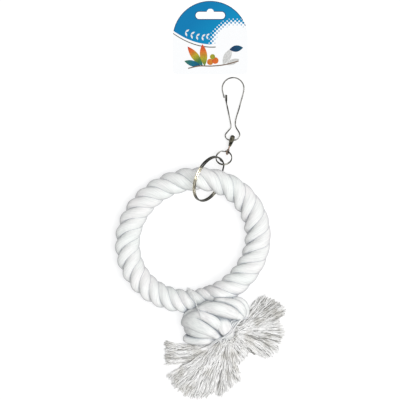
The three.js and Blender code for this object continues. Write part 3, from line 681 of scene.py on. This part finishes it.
# Knot: strands that cross its front as the picture shows, and run on round its back.
# Each row is a pixel, a height, a half width and a half thickness in mm.
KNOT_LOBES = {
    "knot_lobe_side": [
        (233, 301, 23, 4, 5), (239, 301.8, 25, 4.2, 5.5), (243.2, 305.5, 22, 4.4, 5.5),
        (244.6, 310.7, 18, 4.4, 5.5), (242.5, 316, 14, 4.5, 5.5)
    ],
    "knot_lobe_right": [
        (217, 301.8, 30, 3.5, 5), (226.5, 302.2, 34, 4.5, 5.5), (235, 304, 36, 5.2, 6),
        (240.3, 308.6, 33, 5.2, 6), (241.5, 314, 25, 5, 5)
    ],
    "knot_lobe_upper": [
        (200.8, 310, 33, 3.6, 5), (208.5, 307.8, 39.5, 6, 7.5), (218, 308.6, 43, 7.2, 8.5),
        (227.5, 311.2, 41, 7.1, 8.5), (234, 314.2, 35.5, 5.8, 7.5), (238.3, 317, 29, 4, 6)
    ],
    "knot_lobe_middle": [
        (186.8, 319.5, 13, 4.5, 5), (192.3, 316.4, 26.5, 4.8, 6), (200.5, 315, 37, 5.2, 6.5),
        (208.5, 317.6, 40.5, 5.8, 6.5), (215, 321.8, 38.5, 6.2, 6), (220.5, 328, 28, 4.2, 5)
    ],
    "knot_lobe_lower": [
        (186.3, 320.2, 15, 7.6, 5.2), (192.2, 321.6, 29, 8, 6.5), (199.7, 325.2, 36.5, 7.7, 6.8),
        (207.3, 329, 38, 6.2, 6.6), (213.8, 332.6, 33, 4.8, 6), (219.5, 336.4, 25, 3.6, 5)
    ],
    "knot_lobe_under": [
        (188.4, 328.4, 12, 6, 5), (194, 330.2, 25.5, 6.8, 6), (200.7, 331.4, 32.5, 6.8, 6),
        (208, 331.8, 33.5, 6, 6), (214.6, 333.6, 30, 4.2, 5.5), (220, 337.5, 23, 3.4, 5)
    ],
    "knot_lobe_bottom": [
        (187.5, 338.6, 10, 5.2, 4.5), (194, 339.9, 16, 5.2, 5), (202, 340.3, 20, 5.2, 5),
        (210, 339.3, 21, 4.8, 5), (218, 339, 19, 4, 4.5)
    ],
    "knot_lobe_crossing": [
        (218.5, 315.5, 28, 6.5, 5), (221.9, 320.6, 33.5, 7.6, 5.5), (225.2, 327.3, 36.3, 8, 5.8),
        (228.6, 333, 28, 6.6, 5.5), (230.5, 337, 14, 5, 5)
    ],
    "knot_lobe_behind": [
        (187.5, 316.5, 14, 5, 5), (191.5, 313.2, 20, 5, 5.5), (197, 311.3, 24, 5, 5),
        (202, 308, 27.5, 5, 5), (208, 305, 29, 5, 5)
    ],
}
KNOT_MIDDLE = place(214.5, 320, 18)
KNOT_ANGLE = math.radians(22)
KNOT_AXIS = np.array((math.cos(KNOT_ANGLE), math.sin(KNOT_ANGLE), 0))
HEART_AXES = (29, 21, 20)  # half sizes of the rope tucked away inside
HEART_RINGS = 40
HEART_POLE = 0.05  # radians from its first ring to its pole
HEART_FLOOR = 1
HEART_STRAND = 30  # strand numbers, so that its fibres and the lobes' differ from the ring's
LOBE_STRAND = 10
LOBE_STEPS = 90
LOBE_SIDES = 48
LOBE_THICKNESS = 6  # usual half thickness, which the yarns' relief is measured against
LOBE_BACK_SWEEP = 0.6 * math.pi  # half the turn that shows yarns
LOBE_PLUMPNESS = 0.85  # 1 is an ellipse, less is rounder
LOBE_BACK_HEIGHT = 7  # middle of the strands where they run under the knot
LOBE_BACK_SIZE = (6.5, 6)
LOBE_BACK_SHARES = (0.2, 0.5, 0.8)  # places of the three points there, from the lobe's end to its start
LOBE_BACK_DRAWN_IN = 0.8
LOBE_AXIS_SHARE = 0.6  # how far a lobe leans along the knot


def plump(share):
    """A share from -1 to 1 along an axis, rounder than a sine near its ends."""
    return np.sign(share) * np.abs(share) ** LOBE_PLUMPNESS


def lobe_loop(rows):
    """Places round a lobe, over the knot's front and back under it, each with its half sizes."""
    top = [np.concatenate((place(px, py, z), (wide, thick))) for px, py, z, wide, thick in rows]
    start = top[0][:3]
    end = top[-1][:3]
    back = []
    for share in LOBE_BACK_SHARES:
        point = end + (start - end) * share
        point = KNOT_MIDDLE + (point - KNOT_MIDDLE) * LOBE_BACK_DRAWN_IN
        point[2] = LOBE_BACK_HEIGHT
        back.append(np.concatenate((point, LOBE_BACK_SIZE)))
    loop = top + back
    half = 2 * LOBE_STEPS
    stations = spread_along([loop[-1], *loop, loop[0], loop[1]], 2 * half)
    starts = np.argmin(np.linalg.norm(stations[:half, :3] - start, axis=1))
    ends = half + np.argmin(np.linalg.norm(stations[half:, :3] - start, axis=1))
    return stations[np.linspace(starts, ends, LOBE_STEPS, endpoint=False).round().astype(int)]


def lobe_frames(centre):
    """The directions out of the knot and across the lobe, at each place round it."""
    on_axis = KNOT_MIDDLE + np.outer((centre - KNOT_MIDDLE) @ KNOT_AXIS * LOBE_AXIS_SHARE, KNOT_AXIS)
    along = unit(np.roll(centre, -1, axis=0) - np.roll(centre, 1, axis=0))
    outward = centre - on_axis
    first = unit(outward - np.sum(outward * along, axis=1, keepdims=True) * along)
    return first, np.cross(along, first)


def knot_lobe(name, rows, number, material):
    picked = lobe_loop(rows)
    centre = picked[:, :3]
    run = run_along(centre)
    first, second = lobe_frames(centre)
    angle = np.linspace(-np.pi, np.pi, LOBE_SIDES, endpoint=False)
    across = np.clip(angle / LOBE_BACK_SWEEP, -1, 1)
    ridge = 1 + yarn_relief(across[None, :], run[:, None]) / LOBE_THICKNESS
    a = plump(np.cos(angle)) * picked[:, 4:5] * ridge
    b = plump(np.sin(angle)) * picked[:, 3:4] * ridge
    rings = rings_round(centre, a, b, first, second)
    return cotton_piece(name, rings, across, run, LOBE_STRAND + number, material, True)


def knot_heart(material):
    """The rope inside the knot, which shows between its strands."""
    polar = np.linspace(HEART_POLE, np.pi - HEART_POLE, HEART_RINGS)[:, None]
    angle = np.linspace(0, 2 * np.pi, HEART_RINGS, endpoint=False)[None, :]
    sideways = np.array((-KNOT_AXIS[1], KNOT_AXIS[0], 0))
    points = (KNOT_MIDDLE + HEART_AXES[0] * np.cos(polar)[..., None] * KNOT_AXIS
              + HEART_AXES[1] * (np.sin(polar) * np.cos(angle))[..., None] * sideways
              + HEART_AXES[2] * (np.sin(polar) * np.sin(angle))[..., None] * np.array((0, 0, 1)))
    points[..., 2] = np.maximum(points[..., 2], HEART_FLOOR)
    across = np.zeros(HEART_RINGS)
    run = points[:, 0] @ KNOT_AXIS
    cotton_piece("knot_heart", points, across, run, HEART_STRAND, material, False, "knot_core")


def knot(material):
    """The first three lobes stand for the three strands that cross the knot in the CAD model."""
    knot_heart(material)
    for number, (name, rows) in enumerate(KNOT_LOBES.items()):
        lobe = knot_lobe(name, rows, number, material)
        if number < STRANDS:
            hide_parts(f"knot_strand_{number + 1}")


# Tassel: bundles of yarns between two edges. Each edge is root and middle; tips run from edge to edge.
# Heights are of the top yarns at root, middle and tips. A tone of 0 is dark, 1 is white; the darker bundles'
# tones are painted shade.
TASSEL = {
    "tassel_right_upper": dict(
        edges=[[(236, 327), (246, 314)], [(237, 331), (260, 324)]],
        tips=[
            (256, 301), (260, 296.5), (265, 295), (272, 298), (278, 302), (284, 306), (287, 311),
            (279, 318)
        ],
        height=(30, 17, 8), count=210, tone=0.66),
    "tassel_right_lower": dict(
        edges=[[(237, 331), (258, 327)], [(232, 338), (240, 345.5)]],
        tips=[
            (279, 319), (283, 327), (284, 334), (282.5, 341), (277, 352), (270, 358), (265, 358),
            (255, 353.5), (248, 351)
        ],
        height=(29, 16, 8), count=310, tone=0.97),
    "tassel_stub": dict(
        edges=[[(233, 338), (242, 345)], [(228, 343), (233, 355)]],
        tips=[(249, 352), (246, 357), (243, 361.5), (238.6, 364.5)],
        height=(26, 14, 8), count=150, tone=0.93),
    "tassel_lower": dict(
        edges=[[(231, 340), (237, 358)], [(226, 341), (222, 368)]],
        tips=[(236, 366), (240, 374), (240, 381), (234, 386), (228, 390.5), (222, 395), (215.5, 398)],
        height=(28, 14, 7), count=210, tone=1.0),
    "tassel_lower_left": dict(
        edges=[[(227, 340), (221, 368)], [(220, 340), (196, 358)]],
        tips=[
            (213.5, 394), (208, 397), (202, 399), (195, 398.5), (188, 397), (178, 392), (172, 384),
            (167, 375)
        ],
        height=(29, 16, 8), count=350, tone=0.98),
    "tassel_left": dict(
        edges=[[(222, 342), (195, 359.5)], [(214, 340), (188, 345)]],
        tips=[(165.3, 364), (164.8, 358), (165.8, 352.5), (164.5, 346), (164.7, 340.6)],
        height=(22, 12, 8), count=210, tone=0.76),
}
SEED = 7
YARN_STEPS = 30
YARN_SHARES = np.linspace(0, 1, YARN_STEPS)  # of a yarn's length, at each of its points
YARN_SIDES = 5
YARN_RADIUS = 0.45
YARN_FLOOR = 0.02
YARN_THICKNESS = (0.75, 1.3)  # least and most of the radius
YARN_TAPER = ((0, 0.9, 1), (1, 0.95, 0.55))  # shares of the length, and of the radius there
YARN_REFERENCE = (0.02, 0.01, 1)  # no yarn runs this way
WAVE_LENGTH = (9, 24)
SWAY = (0.2, 0.9)
SWAY_GROWTH = 2.5  # the sway has grown to its full size at 1 / 2.5 of the length
SWAY_UP = 0.6
CRIMP = 0.18  # short waves left in the yarns by the rope's lay
CRIMP_LENGTH = 5.5
LAYER_POWER = 0.8  # under 1, more yarns lie high than low
YARNS_IN_LOCK = 14
GATHERED = 0.5  # how far a lock's yarns are drawn to its middle
LOCK_TONE = 0.13  # spread from lock to lock
LOCK_LIFT = 0.14
LOCK_REACH = 0.03
ASTRAY_SHARE = 0.07
ASTRAY_SPREAD = 0.22
ROOT_SPREAD = 2
MIDDLE_SPREAD = 0.8
TIP_SPREAD = 0.6
REACH = (0.9, 1.01)
TIP_LIFT = (0.4, 1)
LOWEST = (8, 1, 0.5)  # height of the lowest yarns at root, middle and tip
CROWN_EDGE = 0.72  # height at a bundle's edges, as a share of its height in the middle
TONE_SPREAD = 0.2
# Painted shade: yarns that lie lower are darker
PAINTED_SHADE_BY_LAYER = 0.3
TONE_LAYER = 0.6  # the layer that keeps the bundle's own tone
TONE_BY_LENGTH = 0.3  # lighter at the root than at the tip
DARKER_SHARE = 0.2  # yarns in the shade of others
DARKER_BY = 0.45
# Pockets where the yarns lie apart, darkened with painted shade under the top yarns: a pixel and a radius in
# mm
SHADE_POCKETS = [
    (201.5, 363, 5), (190, 374.5, 5.5), (267, 330, 6.5), (264, 346, 5), (217, 385, 5.5), (217, 372, 4),
    (262, 307, 8), (254, 317, 6), (276, 322, 5), (234, 371, 4), (213, 352, 4), (172, 350, 3),
]
POCKET_DEPTH = 0.5
POCKET_LAYER = 0.8


def yarn_mesh(name, lines, radii, tones, slot, material, *nodes):
    """Many round yarns in one mesh. lines is (yarns, steps, 3) in mm."""
    count, steps, _ = lines.shape
    along = unit(np.gradient(lines, axis=1))
    first = unit(np.cross(along, YARN_REFERENCE))
    second = np.cross(along, first)
    angle = 2 * np.pi * np.arange(YARN_SIDES) / YARN_SIDES
    rings = (lines[:, :, None, :]
             + radii[..., None, None] * np.cos(angle)[:, None] * first[:, :, None, :]
             + radii[..., None, None] * np.sin(angle)[:, None] * second[:, :, None, :])
    rings[..., 2] = np.maximum(rings[..., 2], YARN_FLOOR)
    vertices = rings.reshape(-1, 3)
    faces = []
    for k in range(count):
        faces.extend(skin_faces(steps, YARN_SIDES, k * steps * YARN_SIDES))
    run = np.cumsum(np.linalg.norm(np.gradient(lines, axis=1), axis=2), axis=1)
    values = {
        "tone": np.repeat(tones.reshape(-1), YARN_SIDES),
        "along": np.repeat(run.reshape(-1), YARN_SIDES),
    }
    piece = new_object(name, vertices, faces, values)
    return finish_piece(piece, "rope", slot, material, *nodes)


def between(edge_a, edge_b, share):
    return edge_a + (edge_b - edge_a) * share[:, None]


def tip_points(tips, shares):
    """Places at the given shares of the line along a bundle's tips, seen from above."""
    tips = np.array([place(*tip)[:2] for tip in tips])
    marks = run_along(tips)
    return np.column_stack([np.interp(shares * marks[-1], marks, tips[:, i]) for i in (0, 1)])


def bent_lines(root, middle, tip):
    """A smooth line for each yarn, from its root through its middle to its tip."""
    t = YARN_SHARES[None, :, None]
    control = 2 * middle - (root + tip) / 2
    start, bend, end = (row[:, None, :] for row in (root, control, tip))
    return (1 - t)**2 * start + 2 * t * (1 - t) * bend + t**2 * end


def bundle_plan(edges, tips, side, gathered, tip_side, lock_reach, rng):
    """Roots, middles and tips of a bundle's yarns, seen from above."""
    count = len(side)
    (root_a, middle_a), (root_b, middle_b) = [[place(*point)[:2] for point in edge] for edge in edges]
    tip = tip_points(tips, tip_side)
    root = between(root_a, root_b, side) + rng.normal(0, ROOT_SPREAD, (count, 2))
    middle = between(middle_a, middle_b, gathered) + rng.normal(0, MIDDLE_SPREAD, (count, 2))
    reach = rng.uniform(*REACH, count) + lock_reach
    tip = middle + (tip - middle) * reach[:, None] + rng.normal(0, TIP_SPREAD, (count, 2))
    return root, middle, tip


def add_waves(lines, heading, rng):
    """Sways the lines sideways, in long waves and in the short ones of the rope's lay."""
    count = len(lines)
    length = np.linalg.norm(heading, axis=1)[:, None] * YARN_SHARES
    wave_length = rng.uniform(*WAVE_LENGTH, count)[:, None]
    start_of_wave = rng.uniform(0, 2 * np.pi, count)[:, None]
    grown = np.minimum(YARN_SHARES * SWAY_GROWTH, 1)
    sway = rng.uniform(*SWAY, count)[:, None] * grown
    sway *= np.sin(2 * np.pi * length / wave_length + start_of_wave)
    sway += CRIMP * grown * np.sin(2 * np.pi * length / CRIMP_LENGTH + 2 * start_of_wave)
    heading = unit(heading)
    sideways = np.column_stack((-heading[:, 1], heading[:, 0]))
    lines[..., :2] += sway[..., None] * sideways[:, None, :]
    lines[..., 2] = np.maximum(lines[..., 2] + SWAY_UP * sway, YARN_RADIUS)


def tones_along(lines, tones, layer):
    """Tones of all points: lighter near the root, and darker with painted shade in a pocket unless the yarn
    lies on top.
    """
    tones = tones[:, None] + TONE_BY_LENGTH * (0.5 - YARN_SHARES)
    for px, py, radius in SHADE_POCKETS:
        away = np.linalg.norm(lines[..., :2] - place(px, py)[:2], axis=-1) / radius
        tones -= POCKET_DEPTH * np.exp(-away**2) * (layer < POCKET_LAYER)[:, None]
    return np.clip(tones, 0, 1)


def tassel_bundle(name, edges, tips, height, count, tone, material, rng):
    """Yarns that lie together in locks, most of them in their place between the edges, a few astray."""
    side = rng.uniform(0, 1, count)
    layer = rng.uniform(0, 1, count) ** LAYER_POWER
    locks = round(count / YARNS_IN_LOCK)
    lock = np.minimum((side * locks).astype(int), locks - 1)
    lock_tone = rng.normal(0, LOCK_TONE, locks)
    lock_lift = rng.normal(0, LOCK_LIFT, locks)
    lock_reach = rng.normal(0, LOCK_REACH, locks)
    gathered = side + ((lock + 0.5) / locks - side) * GATHERED
    astray = rng.uniform(0, 1, count) < ASTRAY_SHARE
    layer[astray] = 1
    tip_side = np.clip(gathered + astray * rng.normal(0, ASTRAY_SPREAD, count), 0, 1)
    plan = bundle_plan(edges, tips, side, gathered, tip_side, lock_reach[lock], rng)
    crown = CROWN_EDGE + (1 - CROWN_EDGE) * np.sin(np.pi * side)
    lift = np.clip(layer * crown + lock_lift[lock], 0, 1)
    lifts = (lift, lift, lift * rng.uniform(*TIP_LIFT, count))
    heights = [low + (high - low) * share for low, high, share in zip(LOWEST, height, lifts)]
    lines = bent_lines(*(np.column_stack(row) for row in zip(plan, heights)))
    root, _, tip = plan
    add_waves(lines, tip - root, rng)
    thickness = YARN_RADIUS * rng.uniform(*YARN_THICKNESS, count)[:, None]
    radii = thickness * np.interp(YARN_SHARES, *YARN_TAPER)
    tones = tone + rng.normal(0, TONE_SPREAD, count) + PAINTED_SHADE_BY_LAYER * (layer - TONE_LAYER)
    tones += lock_tone[lock]
    tones -= DARKER_BY * (rng.uniform(0, 1, count) < DARKER_SHARE)
    tones = tones_along(lines, tones, layer)
    return yarn_mesh(f"{name}_yarns", lines, radii, tones, "frayed_cotton", material, name)


# Single yarns. Each row is a pixel and a height in mm.
SINGLE_YARNS = [
    [(187.4, 287.5, 26), (190.5, 290, 30.5), (193.3, 294.5, 33), (195.2, 300, 34), (197, 306, 37),
     (199.5, 312, 45), (201.6, 318, 47)],
    [(186.7, 288.5, 25), (189, 290.5, 29.5), (191.2, 290, 31.5), (189, 287.6, 28.5)],
    [(243.5, 316, 33), (239, 321, 39), (233, 329, 40.5), (224.5, 336, 38.5), (216, 340, 33.5),
     (210.5, 344.5, 28)],
    [(242.5, 318, 33), (236.5, 325, 39), (231, 333, 39.5), (222.5, 338, 36.5), (214.5, 342.5, 30.5),
     (208, 349, 24)],
    [(240.5, 318.5, 33), (235.5, 322.5, 39), (232, 328, 40), (228, 334, 38.5), (224, 340, 35)],
    [(238.5, 319.5, 34), (233.5, 322.5, 38), (231.5, 326, 39), (229.5, 332, 38), (226, 339, 35)],
    [(236, 319.5, 34), (231.5, 321, 38), (230.5, 324, 38.5), (229, 330, 37), (227, 337, 35)],
]
SINGLE_YARN_RADIUS = 0.6
SINGLE_YARN_STEPS = 60


def single_yarns(material):
    rows = [[place(*row) for row in yarn] for yarn in SINGLE_YARNS]
    lines = np.array([spread_along(yarn, SINGLE_YARN_STEPS) for yarn in rows])
    radii = np.full(lines.shape[:2], SINGLE_YARN_RADIUS)
    yarn_mesh("loose_yarns", lines, radii, np.ones(lines.shape[:2]), "cotton_rope", material)


def tassel(material, loose_material):
    rng = np.random.default_rng(SEED)
    for name, shape in TASSEL.items():
        tassel_bundle(name, material=material, rng=rng, **shape)
    single_yarns(loose_material)


# Metal wires
SPLIT_RINGS = {
    "large_split_ring": dict(
        centre=(8.46, 23.046, 23.21), axis=(0.777, -0.35, 0.523), radius=25.4, wire=1.8, turned=20,
        body="large_ring", slot="ring_wire"),
    "small_split_ring": dict(
        centre=(24.912, 45.949, 10.331), axis=(-0.045, 0.516, 0.855), radius=8.6, wire=1.1, turned=100,
        body="small_ring", slot="hook_wire"),
}
TURN = 360  # degrees
SPLIT_RING_STEPS = 300
TURN_GAP = 0.5
STEP_SPREAD = 15  # degrees each side of the step from one turn to the other
END_MARGIN = 4  # degrees from the step to each end of the wire
WIRE_SIDES = 20
WIRE_REFERENCE = (0.3, 0.2, 0.9)  # no wire starts this way
WIRE_END = (0.5, 0.75)  # share of the radius at a wire's last point and the one before


def rotation_to(axis):
    """The shortest rotation that turns +Z to an axis, as a matrix."""
    x, y, z = unit(np.array(axis, dtype=float))
    c = 1 / (1 + z)
    return np.array(((1 - x * x * c, -x * y * c, x), (-x * y * c, 1 - y * y * c, y), (-x, -y, z)))


def wire_object(name, centre, diameter):
    """A round wire along points in mm, its frames carried along, its ends rounded off."""
    along = unit(np.gradient(centre, axis=0))
    first = np.zeros_like(centre)
    first[0] = unit(np.cross(along[0], WIRE_REFERENCE))
    for k in range(1, len(centre)):
        first[k] = unit(first[k - 1] - along[k] * (first[k - 1] @ along[k]))
    second = np.cross(along, first)
    radius = np.full(len(centre), diameter / 2)
    radius[:2] *= WIRE_END
    radius[-2:] *= WIRE_END[::-1]
    angle = 2 * np.pi * np.arange(WIRE_SIDES) / WIRE_SIDES
    rings = (centre[:, None, :] + radius[:, None, None] * (np.cos(angle)[:, None] * first[:, None, :]
                                                           + np.sin(angle)[:, None] * second[:, None, :]))
    return new_object(name, rings.reshape(-1, 3), skin_faces(len(centre), WIRE_SIDES))


def split_ring(node, centre, axis, radius, wire, turned, body, slot, material):
    """Two turns of wire side by side, with one step between them."""
    margin = STEP_SPREAD + END_MARGIN
    degrees = np.linspace(margin, 2 * TURN - margin, SPLIT_RING_STEPS)
    share = np.clip((degrees - TURN + STEP_SPREAD) / (2 * STEP_SPREAD), 0, 1)
    rise = (wire + TURN_GAP) * (share**2 * (3 - 2 * share) - 0.5)
    angle = np.radians(degrees + turned)
    flat = np.column_stack((radius * np.cos(angle), radius * np.sin(angle), rise))
    points = flat @ rotation_to(axis).T + np.array(centre)
    finish_piece(wire_object(f"{node}_wire", points, wire), body, slot, material, node)


# Places painted dark, a painted reflection of dark surroundings: a pixel, a radius in mm and what is left of
# the brightness
LARGE_RING_PAINTED_DARK = [(215, 157, 20, 0.08), (204, 203, 14, 0.11)]
GATE_PAINTED_DARK = [(226, 96.5, 9, 0.03)]
BRASSY_PATCHES = 130  # scale of the patches, more is finer
CLIP_PATCHES = 300
NICKEL = ((0.5, 0.49, 0.46), (0.16, 0.155, 0.14), 0.25)  # bright, dull and roughness


def wire_materials():
    """The two split rings' materials, and those of the CAD nodes that stay."""
    brassy = plated_material("brassy_nickel", (1.0, 0.94, 0.77), (0.22, 0.2, 0.14), 0.15, BRASSY_PATCHES,
                             LARGE_RING_PAINTED_DARK)
    nickel = plated_material("bright_nickel", *NICKEL)
    dull = plated_material("dull_nickel", (0.38, 0.37, 0.33), (0.07, 0.068, 0.055), 0.25)
    brown = plated_material("tarnished_brass", (0.4, 0.27, 0.19), (0.1, 0.06, 0.04), 0.25)
    shadowed = plated_material("shadowed_nickel", (0.08, 0.075, 0.055), (0.008, 0.008, 0.006), 0.3,
                               CLIP_PATCHES)
    # The gate's latch is painted dark, a painted reflection of dark surroundings
    gate_shaded = plated_material("latch_shade_nickel", *NICKEL, painted_dark=GATE_PAINTED_DARK)
    rings = {"large_split_ring": brassy, "small_split_ring": dull}
    kept = {"swivel_eye": brown, "swivel_clip": shadowed, "hook_frame": nickel, "hook_gate": gate_shaded}
    return rings, kept


# Camera
def new_camera():
    """It looks straight down from far away, and its view is as wide as the picture."""
    data = bpy.data.cameras.new("camera")
    data.lens = LENS
    data.sensor_width = SENSOR
    camera = in_scene("camera", data)
    width = PICTURE * PIXEL * MM
    camera.location = ((PICTURE / 2 - PIXEL_X) * PIXEL * MM, 0, width * LENS / SENSOR)
    bpy.context.scene.camera = camera


# Floor and light
FLOOR_SIDE = 60  # m
FLOOR_HEIGHT = -0.0003  # just under what lies on it
FLOOR_GREY = (0.35, 0.35, 0.35)
FLOOR_GLOW = 0.69
SUN_ENERGY = 2.78
SUN_ANGLE = 45  # degrees; a wide sun gives soft shadows
SUN_TILT = (5, 15)  # degrees about X and Y
SKY_COLOR = (0.95, 0.97, 1, 1)
SKY_STRENGTH = 0.22


def new_floor():
    mesh = bpy.data.meshes.new("floor")
    half = FLOOR_SIDE / 2
    corners = [(-half, -half), (half, -half), (half, half), (-half, half)]
    mesh.from_pydata([(*corner, FLOOR_HEIGHT) for corner in corners], [], [(0, 1, 2, 3)])
    floor = in_scene("floor", mesh)
    material, shader, _, _ = new_material("pale_floor", FLOOR_GREY, 0.9)
    shader.inputs["Emission Color"].default_value = (1, 1, 1, 1)
    shader.inputs["Emission Strength"].default_value = FLOOR_GLOW
    mesh.materials.append(material)


def new_lights():
    data = bpy.data.lights.new("softbox", "SUN")
    data.energy = SUN_ENERGY
    data.angle = math.radians(SUN_ANGLE)
    sun = in_scene("softbox", data)
    sun.rotation_euler = (math.radians(SUN_TILT[0]), math.radians(SUN_TILT[1]), 0)
    world = bpy.data.worlds.new("studio")
    bpy.context.scene.world = world
    world.use_nodes = True
    background = world.node_tree.nodes["Background"]
    background.inputs["Color"].default_value = SKY_COLOR
    background.inputs["Strength"].default_value = SKY_STRENGTH
    bpy.context.scene.view_settings.view_transform = "Standard"


# Whole scene
ROPE_SIDE_SHADE = 0.7
LOOSE_SIDE_SHADE = 1

new_camera()
# The two cotton materials differ only in painted side shade, which the loose yarns do not get
cotton = cotton_material("laid_cotton", ROPE_SIDE_SHADE)
loose_cotton = cotton_material("loose_cotton", LOOSE_SIDE_SHADE)
frayed = frayed_material()
ring_materials, node_materials = wire_materials()
for strand_number in range(STRANDS):
    ring_strand(strand_number, cotton)
knot(cotton)
tassel(frayed, loose_cotton)
for ring_name, shape in SPLIT_RINGS.items():
    split_ring(ring_name, material=ring_materials[ring_name], **shape)
node_materials["header_card"] = card_material()
for node_name, node_material in node_materials.items():
    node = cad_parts[node_name]
    node.data.materials.clear()
    node.data.materials.append(node_material)
card_print(ink_material())
new_floor()
new_lights()
